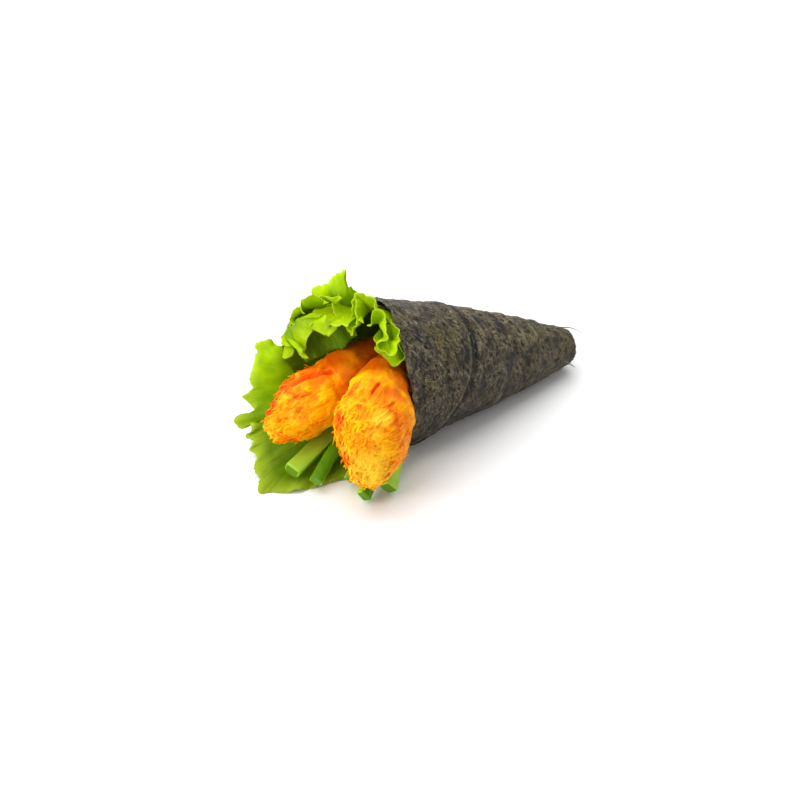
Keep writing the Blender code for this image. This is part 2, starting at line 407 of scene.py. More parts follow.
# the seaweed sheet: an inner turn with a closed tip, and an outer flap stepped over it; mm and degrees
nori = {
    "wall": 0.5,
    "flapThickness": 0.4,
    "gap": 0.22,          # between the inner turn and the flap
    "edgeCurl": 0.55,     # how far the cut edge stands up off the turn below it
    "groove": 0.6,        # the dent that the edge has pressed beside it
    "seamTop": 56.0,      # where the cut edge crosses the top
    "seamPeak": 75.0,     # the turn of the cone at which it comes nearest to the tip
    "seamTurn": 0.36,     # how much of each turn of the cone shows on the flat sheet
    "cornerLift": 1.4,    # how far the flap's loose corner stands off
    "plug": 38.0,         # where the hollow ends, and the cone is solid from there to its tip
    "crown": 1.45,        # how far the blunt tip bulges
    "flapFrom": -57,
    "flapTo": 226,
    "dip": (92, 22, 1.1),      # where the inner rim is pressed in over the prawns, how wide and how deep
    "slack": (88, 20, 0.9),    # where the flap's rim stands off there, how wide and how high
    "ragged": 0.75,       # how far torn edges wander
    "columns": 300,
    "rows": {"outside": 170, "inside": 40, "flap": 46},
    # the two mouths, as phi and t
    "innerMouth": [(-46, 80.5), (-10, 84.5), (35, 88.3), (65, 87.6), (92, 85.5), (106, 89), (123, 102),
                   (132, 110), (185, 111.5), (215, 104), (250, 92), (285, 84), (314, 80.5)],
    "flapMouth": [(-46, 81.5), (-10, 85.7), (35, 89.6), (65, 89.5), (95, 87.6), (112, 88.5), (135, 92),
                  (185, 94), (225, 92), (285, 85), (314, 81.5)],
    # creases across the sheet: t, phi of the middle, half width in degrees, slant, height, width
    "creases": [(8, 70, 38, 0.02, 0.28, 1.0), (15, 82, 40, 0.03, 0.40, 1.2), (22.5, 74, 42, 0.02, 0.45, 1.2),
                (30, 80, 40, 0.03, 0.50, 1.3), (37, 72, 36, 0.03, 0.42, 1.2), (44, 84, 34, 0.04, 0.38, 1.1),
                (50.5, 66, 24, 0.05, 0.32, 0.9), (60, 78, 26, 0.05, 0.35, 1.0), (65, 60, 26, 0.06, 0.25, 1.0),
                (27, 10, 34, -0.05, 0.26, 1.3), (41, -4, 30, -0.06, 0.24, 1.4), (74, 20, 30, 0.08, 0.22, 1.5),
                (33, 170, 40, 0.02, 0.35, 1.3), (52, 200, 36, -0.03, 0.35, 1.4),
                (70, 240, 40, 0.04, 0.3, 1.4)],
}


def tableAt(table, phi):
    phi = (np.asarray(phi, float) + 46) % 360 - 46
    angles = np.array([row[0] for row in table], float)
    lengths = np.array([row[1] for row in table], float)
    place = np.clip(np.searchsorted(angles, phi, side="left"), 1, len(table) - 1)
    share = smoothStep(0, 1, (phi - angles[place - 1]) / (angles[place] - angles[place - 1]))
    return lengths[place - 1] + (lengths[place] - lengths[place - 1]) * share


def turnFrom(phi, centre):
    return (phi - centre + 180) % 360 - 180


def seamAt(phi):
    # the straight cut edge of the sheet runs round the cone as a curve
    return nori["seamTop"] / np.cos(np.radians(turnFrom(phi, nori["seamPeak"]) * nori["seamTurn"]))


def raggedEdge(phi, seed):
    around = np.stack([np.cos(np.radians(phi)), np.sin(np.radians(phi)), np.zeros_like(phi)], axis=-1) * 28
    return nori["ragged"] * (0.7 * lumps(around, 3.2, seed) + 0.7 * lumps(around, 1.1, seed + 3))


def sheetRelief(t, phi):
    # how far the sheet stands off the plain cone: slack, crinkles, then creases with a dent beside each
    flat = onCone(t, phi, coneRadius(t))
    relief = 0
    for seed, (size, height) in enumerate([(13, 0.36), (5.5, 0.28), (2.6, 0.22), (1.2, 0.07)], 1):
        relief = relief + height * lumps(flat, size, seed)
    wander = 1.3 * lumps(flat, 7, 5)
    for middle, centre, width, slant, height, thick in nori["creases"]:
        off = turnFrom(phi, centre)
        across = (t - middle - slant * off + wander) / thick
        fold = 1.5 * bell(across, 0, 1) - 0.9 * bell(across, -1.7, 1)
        relief = relief + height * fold * np.exp(-(off / width) ** 4)
    return relief * smoothStep(-4, 8, t)


def unrolled(t, phi):
    # place on the flat sheet, a fan that is widest at the mouth, as uv
    slant = roll["side"] * (t + roll["apex"])
    turn = np.radians(phi) * coneRadius(t) / slant
    return np.stack([slant * np.sin(turn), slant * np.cos(turn)], axis=-1) / sheetUnit


def cornerUvs(t, phi, faces):
    # uv of each face corner; phi goes on past 360 on the faces that close the ring
    corners = phi.ravel()[faces]
    corners = np.where(corners < corners.max(axis=1, keepdims=True) - 180, corners + 360, corners)
    return unrolled(t.ravel()[faces], corners).reshape(-1, 2)


def makeNoriSheet(material):
    # the inner turn, closed: outside from the tip to its mouth, then down inside to the closed end
    columns, wall, plug = nori["columns"], nori["wall"], nori["plug"]
    outerRows, innerRows = nori["rows"]["outside"], nori["rows"]["inside"]
    phi = np.arange(columns) * 360.0 / columns - 90
    edgeT = tableAt(nori["innerMouth"], phi) + raggedEdge(phi, 11)
    middle, width, deep = nori["dip"]
    dip = deep * bell(phi, middle, width)
    rows = []      # of each ring: t, radius, and the least height over the table
    tipRings = (0.03, 0.16, 0.30, 0.44, 0.58, 0.70, 0.81, 0.90, 0.96)
    for share in tipRings:
        # the blunt tip shows the sheet wound up as a spiral
        spiral = 0.45 * ((share * 2.2 + phi / 360) % 1.0) - 0.3
        t = -nori["crown"] * math.sqrt(1 - share ** 2) + spiral * smoothStep(0.0, 0.3, share)
        rows.append((t, coneRadius(0.0) * share, 0.0))
    for i in range(outerRows + 1):
        t = 0.3 + (edgeT - 0.3) * i / outerRows
        rows.append((t, coneRadius(t) + sheetRelief(t, phi) - dip * smoothStep(16, 0, edgeT - t), 0.0))
    outside = len(rows)
    rows.append((edgeT + 0.12, rows[-1][1] - wall / 2, 0.2))
    for i in range(innerRows + 1):
        t = edgeT + (plug - edgeT) * i / innerRows
        radius = coneRadius(t) + sheetRelief(t, phi) - dip * smoothStep(16, 0, edgeT - t) - wall
        rows.append((t, radius, wall))
    t, radius, floor = (np.array([np.broadcast_to(row[k], phi.shape) for row in rows]) for k in range(3))
    first = len(tipRings)
    radius[first:first + 3] += raggedEdge(phi, 23) * [[0.5], [0.35], [0.15]]
    angle = np.broadcast_to(phi, t.shape)
    # the outer turn's cut edge has pressed a groove beside it; the material paints that strip dark, a painted
    # shadow of the edge
    begin, end = nori["flapFrom"], nori["flapTo"]
    covered = smoothStep(begin - 5, begin + 7, phi) * smoothStep(end + 6, end - 6, phi)
    shaded = bell(t, seamAt(phi) - 0.8, 1.5) * covered
    shaded[outside:] = 0.0
    # crests: painted highlight where raised parts catch the light, partly rubbed wear; stored as rim
    crest = smoothStep(0.2, 0.9, radius - coneRadius(t))
    points = onWrap(t, angle, radius - nori["groove"] * shaded, floor)
    ragged = 0.12 + bell(t, edgeT, 1.2) + 0.5 * bell(t, 1, 3)
    ragged = np.clip(ragged * smoothStep(0.8, 2.0, points[..., 2]), 0, 1)
    values = {}
    # edge carries the painted shadow beside the seam
    for name, numbers in (("edge", shaded), ("rim", crest), ("ragged", ragged)):
        numbers[outside:] = 0.0
        values[name] = np.append(numbers, [0.0, 0.0])
    faces = gridFaces(len(t), columns, True)
    fans = endFans(len(t), columns)
    uvs = [cornerUvs(t, angle, faces)]
    poleT, polePhi = np.append(t, [0.0, plug]), np.append(angle, [0.0, 0.0])
    uvs += [unrolled(poleT[fan], polePhi[fan] % 360).reshape(-1, 2) for fan in fans]
    poles = [fromAxes(0, 0, -nori["crown"] - 0.15), fromAxes(0, 0, plug - 3)]
    points = np.vstack([points.reshape(-1, 3), poles])
    allFaces = faces.tolist() + fans[0].tolist() + fans[1].tolist()
    return makePiece("noriSheet", points, allFaces, material, np.vstack(uvs), values)


def makeNoriFlap(material):
    # the outer turn: it lies over the inner one from the cut seam to the mouth
    columns, rows, thick = 250, nori["rows"]["flap"], nori["flapThickness"]
    phi = np.linspace(nori["flapFrom"], nori["flapTo"], columns)
    mouth = tableAt(nori["flapMouth"], phi) + raggedEdge(phi, 31)
    seam = seamAt(phi) + 0.12 * lumps(np.stack([phi * 0.4, phi * 0, phi * 0], -1), 1.1, 8)
    seam = np.minimum(seam, mouth - 0.4)
    corner = nori["cornerLift"] * smoothStep(8, -40, phi)
    middle, width, high = nori["slack"]
    slack = high * bell(phi, middle, width)
    top, under = [], []      # t, radius and the least height over the table
    for i in range(rows + 1):
        share = (i / rows) ** 1.35
        t = seam + (mouth - seam) * share
        lift = nori["gap"] + corner * (1 - 0.5 * share) + slack * smoothStep(0.55, 1.0, share)
        lift = lift + nori["edgeCurl"] * smoothStep(2.2, 0.0, t - seam)
        base = coneRadius(t) + sheetRelief(t, phi) + lift
        thinner = 0.3 * thick * (smoothStep(0.02, 0.0, share) + smoothStep(0.985, 1.0, share))
        top.append((t, base + thick - thinner, 0.04))
        under.append((t, base + thinner, 0.0))
    t, radius, floor = (np.array([row[k] + 0 * phi for row in top + under[::-1]]) for k in range(3))
    angle = np.broadcast_to(phi, t.shape)
    points = onWrap(t, angle, radius, floor)
    # the rows run over the top and back below it, so the last one meets the first
    total = len(t)
    faces = gridFaces(total + 1, columns, False) % (total * columns)
    i = np.arange(rows)
    end = np.stack([i, i + 1, total - 2 - i, total - 1 - i], axis=-1) * columns
    faces = np.vstack([faces, end, end[:, ::-1] + columns - 1])
    # painted shadow: the flap's cut edge, and its whole underside at 0.6, are painted dark through edge
    edge = bell(t, seam, 0.9)
    edge[rows + 1:] = 0.6
    # rim: painted highlight on the lit strip just past the cut edge, and the paler torn fibres of the mouth;
    # crests as on the inner turn
    rim = 0.7 * bell(t, seam + 1.6, 0.5) + 0.7 * bell(t, mouth, 0.6)
    crest = smoothStep(0.2, 0.9, sheetRelief(t, angle))
    crest[rows + 1:] = 0.0
    ragged = (0.12 + 0.88 * np.clip(rim, 0, 1)) * smoothStep(0.8, 2.0, points[..., 2])
    values = {"edge": edge, "rim": np.maximum(rim, crest), "ragged": ragged}
    return makePiece("noriFlap", points.reshape(-1, 3), faces, material, cornerUvs(t, angle, faces), values)


def driedSeaweed():
    # dried nori: pressed seaweed felt, grey, olive and tan fibres with dark pores between them
    material, tree, shader, edge, rim = newMaterial("driedSeaweed", "edge", "rim")
    sheet = addNode(tree, "ShaderNodeUVMap", uv_map="sheet")
    slant = addNode(tree, "ShaderNodeVectorMath", {0: sheet}, operation="LENGTH")
    place = addNode(tree, "ShaderNodeTexCoord", out="Object")
    up = addNode(tree, "ShaderNodeSeparateXYZ", {0: place}, out="Z")

    def fibres(turn, long, thin, offset, bend=1.0):
        # a felt of fibres about long by thin mm, lying mostly one way and wandering
        placed = addNode(tree, "ShaderNodeMapping",
                         {"Vector": sheet, "Location": (offset, offset, 0),
                          "Rotation": (0, 0, math.radians(turn)),
                          "Scale": (long / sheetUnit, thin / sheetUnit, 1)}, vector_type="TEXTURE")
        return addNode(tree, "ShaderNodeTexNoise", {"Vector": placed, "Scale": 1.0, "Detail": 2.0,
                                                    "Roughness": 0.6, "Distortion": bend})

    def clouds(size, detail, offset):
        # soft patches about size mm across
        finer = sheetUnit / size
        placed = addNode(tree, "ShaderNodeMapping", {"Vector": sheet, "Location": (offset, -offset, 0),
                                                     "Scale": (finer, finer, 1)})
        return addNode(tree, "ShaderNodeTexNoise", {"Vector": placed, "Scale": 1.0, "Detail": detail,
                                                    "Roughness": 0.65})

    strands = [fibres(30, 3.6, 0.8, 0.3), fibres(-40, 3.4, 0.75, 5.1), fibres(80, 3.0, 0.8, 9.7),
               fibres(-5, 3.2, 0.7, 3.9)]
    mottle, pores = clouds(6.5, 5.0, 6.2), clouds(1.9, 2.0, 2.9)
    rich = addNode(tree, "ShaderNodeMapRange", {0: mottle, 1: 0.42, 2: 0.58, 3: 0.25})
    shade = layered(tree, colour("#130f09"), [
        (pores, 0.42, 0.60, 1.0, "#362a18"),
        (mottle, 0.50, 0.62, 0.7, "#443c1c"),
        (slant, 0.80, 0.22, 0.6, "#87794a")])      # paler towards the tip
    shade = layered(tree, shade, [
        (strands[0], 0.55, 0.62, 0.9, "#a3927a"),
        (strands[1], 0.55, 0.62, 0.85, "#7a6c5c"),
        (strands[2], 0.57, 0.64, 0.8, "#a08c62"),
        (strands[3], 0.56, 0.63, 0.8, "#857a52")], rich)
    shade = layered(tree, shade, [
        (slant, 0.55, 0.22, 0.35, "#9c8e5c"),
        (fibres(42, 8, 1.8, 12.1, 0.8), 0.56, 0.68, 0.7, "#93876f"),
        (fibres(-20, 7, 1.7, 17.3, 0.9), 0.56, 0.68, 0.7, "#837a62"),
        (clouds(5.0, 3.0, 21.0), 0.54, 0.66, 0.5, "#4d3a2c"),
        (clouds(6.0, 3.0, 27.0), 0.55, 0.67, 0.5, "#47561f"),
        (clouds(15, 3.0, 1.7), 0.54, 0.66, 0.5, "#6b6204"),
        (pores, 0.66, 0.71, 0.85, "#c0b284"),
        (mottle, 0.49, 0.38, 0.9, "#0c0a06"),
        (pores, 0.46, 0.40, 0.95, "#040302"),
        (up, 0.034, 0.003, 0.72, "#0d0905"),       # painted shade: darker near the table
        # painted shadow along the seam and under the flap
        (edge, 0.05, 0.5, 0.97, "#050403"),
        # painted highlight on raised crests and rims, partly wear
        (rim, 0.1, 1.0, 0.5, "#a39b82")])
    height = addNode(tree, "ShaderNodeMath", {0: pores, 1: 0.8, 2: mottle}, operation="MULTIPLY_ADD")
    for strand in strands:
        height = addNode(tree, "ShaderNodeMath", {0: height, 1: strand}, operation="ADD")
    bump = addNode(tree, "ShaderNodeBump", {"Height": height, "Strength": 1.0, "Distance": 0.9 * mm})
    rough = addNode(tree, "ShaderNodeMapRange", {0: mottle, 1: 0.3, 2: 0.7, 3: 0.42, 4: 0.65})
    feed(tree, shader, {"Base Color": shade, "Normal": bump, "Roughness": rough, "Specular IOR Level": 0.28,
                        "Sheen Weight": 0.05, "Sheen Roughness": 0.45})
    return material


# the loose strands on both turns of nori, and the stalks that stick out at the tip; mm and radians
looseStrands = {
    "kinds": [(2.4, 0.35), (1.6, -0.25), (3.0, 0.6), (1.2, 0.1)],      # length and bend
    "perSquare": 1.2,     # on each square mm of the most ragged edges
    "apart": 0.5,
    "swing": ((-0.15, -0.2, -3.14), (0.15, 0.2, 3.14)),      # least and most turn
    "size": ((0.5, 0.6, 0.7), (1.2, 1.3, 1.2)),              # and least and most share of full size
    "seed": 6,
    "stalkThickness": 0.7,
    # the stalks as t, phi, radius
    "stalks": [[(6, 96, 8.6), (2, 82, 9.6), (-0.2, 68, 10.4), (-1.6, 52, 12.0)],
               [(6, 352, 8.8), (3.5, 348, 10.3), (1.6, 343, 11.5)]],
}


def makeFibre(name, length, bend, material):
    # one loose strand of seaweed, flat and pointed, lying along X
    steps = 5
    points = []
    for i in range(steps + 1):
        x = i / steps
        half = 0.14 * math.sin(math.pi * (0.1 + 0.8 * x))
        bow = math.sin(math.pi * x)
        for side, lift in ((-1, 0), (1, 0), (0, 0.14)):
            points.append((length * (x - 0.5), bend * bow + side * half, 0.08 + 0.12 * bow + lift))
    last = 3 * steps
    faces = gridFaces(steps + 1, 3, True).tolist() + [(2, 1, 0), (last, last + 1, last + 2)]
    return makePiece(name, points, faces, material)


def makeStalk(name, path, thick, material):
    # a stiff loose stalk: a four-sided rod through the points of its path, thinner towards its end
    line = curveThrough(path, 6)
    side, top = directions(line)[1:]
    half = np.linspace(thick / 2, thick / 5, len(line))[:, None]
    line[:, 2] = np.maximum(line[:, 2], thick)
    points = np.stack([line + side * half, line + top * half, line - side * half, line - top * half], axis=1)
    last = 4 * len(line)
    faces = gridFaces(len(line), 4, True)[:, ::-1].tolist()
    faces += [(0, 1, 2, 3), (last - 1, last - 2, last - 3, last - 4)]
    return makePiece(name, points.reshape(-1, 3), faces, material, values={"tone": np.full(last, 0.75)})


def looseSeaweed():
    # the loose strands on nori: tan, grey and olive, each strand a little different
    material, tree, shader, tone = newMaterial("looseSeaweed", "tone")
    place = addNode(tree, "ShaderNodeTexCoord", out="Object")
    mottle = addNode(tree, "ShaderNodeTexNoise", {"Vector": place, "Scale": 700.0, "Detail": 3.0})
    shade = layered(tree, colour("#2c2717"), [
        (tone, 0.0, 1.0, 1.0, "#918769"),
        (mottle, 0.35, 0.7, 0.6, "#5d5a22")])
    feed(tree, shader, {"Base Color": shade, "Roughness": 0.6, "Specular IOR Level": 0.3})
    return material


seaweed = driedSeaweed()
strand = looseSeaweed()
strandKinds = [makeFibre(f"strand{k}", length, bend, strand)
               for k, (length, bend) in enumerate(looseStrands["kinds"])]
strandTree = scatterNodes("seaweedStrands", strandKinds, strand, looseStrands["swing"], looseStrands["size"])
amounts = {"Per square mm": looseStrands["perSquare"], "Apart": looseStrands["apart"] * mm,
           "Seed": looseStrands["seed"]}
loose = [makeStalk(f"stalk{k}", onCone(*np.array(path, float).T), looseStrands["stalkThickness"], strand)
         for k, path in enumerate(looseStrands["stalks"])]
for make in (makeNoriSheet, makeNoriFlap):
    turnOfNori = dress(make(seaweed), "nori", "nori_wrap")
    loose.append(scatter(turnOfNori, strandTree, amounts))
dress(joined("seaweedStrands", loose), "nori")
for kind in strandKinds:
    bpy.data.objects.remove(kind)
print("nori is wound")

# the lettuce: one leaf lines the cone and spreads on the table, and its frilled lobes fold over the top
lettuce = {
    "thickness": 0.45,
    "start": 50.0,        # t at which the leaf begins, inside the cone
    "clearance": 1.75,    # from the cone's outside to the middle of the leaf
    "spacing": 0.55,      # between two lines of the sheet at its margin
    "wallRows": 8,        # rows of the sheet inside the cone, and from there to the margin
    "freeRows": 26,
    "knee": 0.33,         # how far a lobe goes straight on past the wall before it bends
    "ruffle": {"lining": 1.2, "lobes": 2.1},
    "ruffleSizes": (4.8, 2.1),      # the wide and the fine ones
    "blisterSizes": (5.0, 1.7),
    "teeth": 0.75,        # how far the teeth of the margin stand out
    "toothSizes": (1.9, 0.9),
    # the lobe that lies in shade inside the cone, coloured dark as painted shade
    "paintedShadeLobe": "underfold",
    # margins of the leaf and of each folded lobe, with points at their turns only:
    # (phi where the line leaves the wall, t, phi, radius of the margin)
    "lining": [
        (36, 88, 38, 27), (60, 90.5, 60, 26.5), (90, 88.5, 90, 26), (108, 94, 108, 26.5),
        (124, 106, 126, 27.5), (142, 111, 143, 28), (160, 112, 162, 28.5), (178, 112, 181, 29.5),
        (187, 110, 189, 31), (191, 113, 185, 34), (194, 116, 181, 33.5), (198, 120, 187, 37),
        (201, 118.5, 192, 37),
        (204, 119.5, 200, 37), (207, 121, 208, 38.7), (210, 121.5, 210, 37), (213, 121.5, 213, 36.3),
        (215, 122.5, 215, 37.3), (217, 124.5, 217, 39.5), (220, 123.5, 221, 38.5), (222, 122.5, 223, 37.7),
        (225, 122, 226, 36.5), (227, 125, 228, 37), (229, 127, 227, 39), (231, 130, 229, 40),
        (233, 129.5, 234, 39), (235, 127.5, 236, 38), (237, 125.5, 234, 37), (239, 126, 239, 35.5),
        (241, 128.5, 241, 37.5), (244, 127.5, 246, 35.5), (247, 128.5, 250, 35.5), (249, 130, 252, 36.5),
        (252, 129, 259, 35), (256, 132.5, 267, 36.5), (259, 133, 277, 36.5), (261, 134.5, 280, 38),
        (264, 136.2, 286, 39.5), (267, 133.5, 288, 39), (270, 131, 290, 39.5), (275, 125, 296, 39.5),
        (282, 117, 299, 38.5), (289, 109, 301, 37.5), (296, 100, 306, 36)],
    "lobes": {
        "fringeLow": [(36, 86, 55, 24), (40, 89, 45, 28), (44, 93, 37, 26), (50, 94, 49, 20.5),
                      (55, 95, 61, 18.5), (60, 92, 74, 17.5)],
        "fringeTop": [(50, 91, 72, 29.5), (54, 93, 57, 35), (58, 95.5, 50, 36.5), (64, 97.5, 43, 35),
                      (68, 99, 46, 32), (72, 99.5, 53, 29.5), (76, 99, 61, 29)],
        "curl": [(62, 101, 52, 30.5), (66, 99.5, 56, 35), (71, 98, 68, 36), (77, 101, 69, 34.5),
                 (81, 102.5, 70, 31)],
        "lap": [(78, 98, 73, 29.5), (81, 96.5, 78, 32), (87, 95.5, 93, 34), (93, 98, 101, 32.5),
                (97, 100.5, 99, 29), (101, 102, 86, 25.5), (105, 102, 72, 29)],
        "shield": [(95, 98, 103, 32), (98, 101.5, 87, 29), (101, 104, 71, 27.5), (104, 105, 74, 23),
                   (107, 104.5, 88, 23.5), (111, 104, 116, 27), (115, 101, 113, 31)],
        "peak": [(104, 95, 107, 30), (108, 97.5, 113, 34.5), (112, 101, 105, 41), (116, 101.5, 116, 38.5),
                 (119, 101, 123, 36), (122, 100, 128, 32.5)],
        "wing": [(118, 99, 126, 34), (121, 101.5, 131, 35.5), (124, 104.5, 140, 35), (127, 105, 132, 31.5),
                 (131, 105.5, 114, 28.5)],
        "apron": [(119, 103, 103, 31), (117, 105.5, 126, 31), (115, 107, 130, 30.5), (113, 108, 127, 27),
                  (110, 109.5, 127, 23.5), (107, 110, 104, 22.5), (104, 109.5, 85, 24.5), (101, 108, 74, 28)],
        "ribbon": [(140, 108, 91, 24), (143, 109.5, 88, 21.5), (146, 110.5, 93, 18.5), (149, 110.5, 99, 25.5),
                   (153, 111.5, 111, 23), (156, 112.5, 134, 17), (159, 112.5, 157, 14.5), (162, 113, 151, 10),
                   (165, 112, 175, 16.5)],
        "underfold": [(112, 97, 100, 16), (118, 98, 104, 15), (124, 101, 110, 11.5), (130, 103, 145, 11),
                      (136, 105, 174, 13.5), (142, 107, 184, 18.5), (150, 108, 175, 22.5)],
        "temple": [(124, 107, 121, 30), (127, 110, 120, 31.5), (131, 112, 124, 31), (134, 113, 129, 30.5),
                   (138, 113, 130, 27), (142, 112, 130, 25)],
        "brow": [(136, 110.5, 135, 29), (140, 113, 139, 29), (144, 114, 145, 28), (148, 114, 150, 26),
                 (152, 113, 148, 23)],
        "cheek": [(150, 106.5, 128, 28), (154, 108.5, 149, 27), (158, 110, 156, 31.5), (162, 111.5, 160, 27),
                  (166, 113, 179, 30), (170, 113.5, 177, 25), (174, 113, 171, 21)],
        "bowl": [(156, 109, 137, 19.5), (160, 110.5, 152, 22), (164, 112.5, 161, 18.5),
                 (168, 113.5, 154, 11.5)],
        "eyelid": [(172, 111, 176, 25), (175, 112, 176, 20.5), (178, 113.5, 185, 20.5),
                   (182, 113.5, 188, 24.5)],
    },
}


def evenly(knots, spacing):
    # rows of numbers, with a place in columns 1 to 3, read at even steps along their curve
    fine = curveThrough(knots, 24)
    length = np.concatenate([[0], np.cumsum(np.linalg.norm(np.diff(fine[:, 1:4], axis=0), axis=1))])
    along = np.linspace(0, length[-1], int(length[-1] / spacing) + 2)
    return np.stack([np.interp(along, length, fine[:, k]) for k in range(fine.shape[1])], axis=-1), along


def smoothed(line, reach):
    # a line of points with what is smaller than reach columns evened out
    weights = np.hanning(2 * reach + 3)[1:-1]
    padded = np.pad(line, ((reach, reach), (0, 0)), mode="edge")
    return np.stack([np.convolve(padded[:, k], weights / weights.sum(), "valid") for k in range(3)], axis=-1)


def leafLines(table, start, inset):
    # one line of the leaf for each step along its margin: up the wall, then over to the margin
    table = np.array(table, float)
    knots = np.column_stack([table[:, 0], onCone(table[:, 1], table[:, 2], table[:, 3], 0.7), table[:, 1]])
    fine, along = evenly(knots, lettuce["spacing"])
    basePhi, rim, rimT = fine[:, 0], fine[:, 1:4], fine[:, 4]
    mouth = np.where(basePhi > 108, tableAt(nori["innerMouth"], basePhi), tableAt(nori["flapMouth"], basePhi))
    leave = np.minimum(mouth + 0.6, rimT - 2.5)
    first = np.minimum(mouth - 8, leave - 6) if start is None else 0 * leave + start
    rows = []
    for i in range(lettuce["wallRows"]):
        t = first + (leave - first) * i / lettuce["wallRows"]
        rows.append(onCone(t, basePhi, coneRadius(t) - inset, inset))
    corner = onCone(leave, basePhi, coneRadius(leave) - inset, inset)
    reach = np.linalg.norm(rim - corner, axis=1)
    knee = onCone(leave + lettuce["knee"] * reach, basePhi, coneRadius(leave) - inset, inset)
    # on the broad lining the lobes of the margin don't reach far into the leaf
    calm = rim if start is None else smoothed(rim, int(14 / lettuce["spacing"]))
    for i in range(lettuce["freeRows"] + 1):
        s = i / lettuce["freeRows"]
        line = corner * (1 - s) ** 2 + knee * 2 * s * (1 - s) + calm * s ** 2
        rows.append(line + (rim - calm) * smoothStep(0.86, 1.0, s))
    steps = np.arange(lettuce["freeRows"] + 1) / lettuce["freeRows"]
    return np.array(rows), np.concatenate([np.zeros(lettuce["wallRows"]), steps]), along, reach


def gridNormals(points):
    normal = np.cross(np.gradient(points, axis=1), np.gradient(points, axis=0))
    return normal / np.maximum(np.linalg.norm(normal, axis=-1, keepdims=True), 1e-9)


def leafBlade(table, start, inset, ruffle, seed):
    # one closed thin sheet: its points, faces, and how far each point lies towards the margin and along it
    points, free, along, reach = leafLines(table, start, inset)
    rows, columns = points.shape[:2]
    strip = np.stack([along, along * 0, along * 0], axis=-1)
    outward = points[-1] - points[-4]
    outward /= np.maximum(np.linalg.norm(outward, axis=1, keepdims=True), 1e-9)
    wide, fine = lettuce["toothSizes"]
    tooth = 0.75 - np.abs(lumps(strip, wide, seed)) - 0.6 * np.abs(lumps(strip, fine, seed + 1))
    points += outward * lettuce["teeth"] * tooth[:, None] * (smoothStep(0.7, 1.0, free) ** 2)[:, None, None]
    # ruffles grow towards the margin, and soft blisters lie between the veins
    normal = gridNormals(points)
    deep = 0.35 + 0.3 * smoothStep(15, 30, reach)      # long lines stay smooth for most of their length
    grid = np.stack([along + 0 * free[:, None], free[:, None] * reach * 0.6, 0 * points[..., 0]], -1)
    wide, fine = lettuce["ruffleSizes"]
    broad = lumps(grid, wide, seed + 2) * smoothStep(0, 1, (free[:, None] - deep) / (1 - deep)) ** 1.3
    tight = 0.6 * lumps(grid, fine, seed + 3) * (smoothStep(0.65, 1.0, free) ** 1.5)[:, None]
    wide, fine = lettuce["blisterSizes"]
    blister = 0.10 * lumps(points, fine, 45) + 0.30 * lumps(points, wide, 46)
    stand = ruffle * (broad + tight) * np.minimum(1, reach / 12) + blister * smoothStep(0, 0.3, free)[:, None]
    points += normal * stand[..., None]
    # beside the rim of the cone the sheet is creased inwards
    inward = smoothStep(0.25, 0, free) * smoothStep(0, 0.3, np.arange(rows) / rows)
    crease = np.maximum(0, lumps(points, 4.0, seed + 5) + 0.3)
    points += (fromAxes(0, 0, 100) - points) / 28 * (0.9 * inward[:, None] * crease)[..., None]
    points[..., 2] = np.maximum(points[..., 2], 0.35)
    half = lettuce["thickness"] / 2 * (1 - 0.5 * smoothStep(0.85, 1.0, free))[:, None, None]
    offset = gridNormals(points) * half
    both = np.vstack([(points + offset).reshape(-1, 3), (points - offset).reshape(-1, 3)])
    both[:, 2] = np.maximum(both[:, 2], 0.05)
    faces = thinSheetFaces(rows, columns)
    return both, faces, np.tile(np.repeat(free, columns), 2), np.tile(along, 2 * rows)


def makeLettuce(material):
    points, faces, values = [], [], {"margin": [], "along": [], "tone": []}
    blades = {"lining": lettuce["lining"], **lettuce["lobes"]}
    for number, (name, table) in enumerate(blades.items()):
        if name == "lining":
            start, inset, ruffle = lettuce["start"], lettuce["clearance"], lettuce["ruffle"]["lining"]
        else:
            inset = lettuce["clearance"] + 0.5 + 0.25 * ((number - 1) % 3)
            start, ruffle = None, lettuce["ruffle"]["lobes"]
        some, quads, margin, along = leafBlade(table, start, inset, ruffle, 100 + 9 * number)
        tone = np.full(len(some), 0.3 + (number * 0.26) % 0.7)
        if name == "lining":
            margin = np.sqrt(margin)
            tone = 0.3 * smoothStep(0, 30, some[:, 2])      # painted shade: darker towards the table
        # painted shade: this lobe's margin and tone are lowered so it is coloured dark
        if name == lettuce["paintedShadeLobe"]:
            margin, tone = 0.3 * margin, 0 * tone
        faces.append(quads + sum(len(p) for p in points))
        points.append(some)
        for key, numbers in (("margin", margin), ("along", along + 40 * number), ("tone", tone)):
            values[key] = np.append(values[key], numbers)
    return makePiece("lettuceLeaf", np.vstack(points), np.vstack(faces), material, values=values)


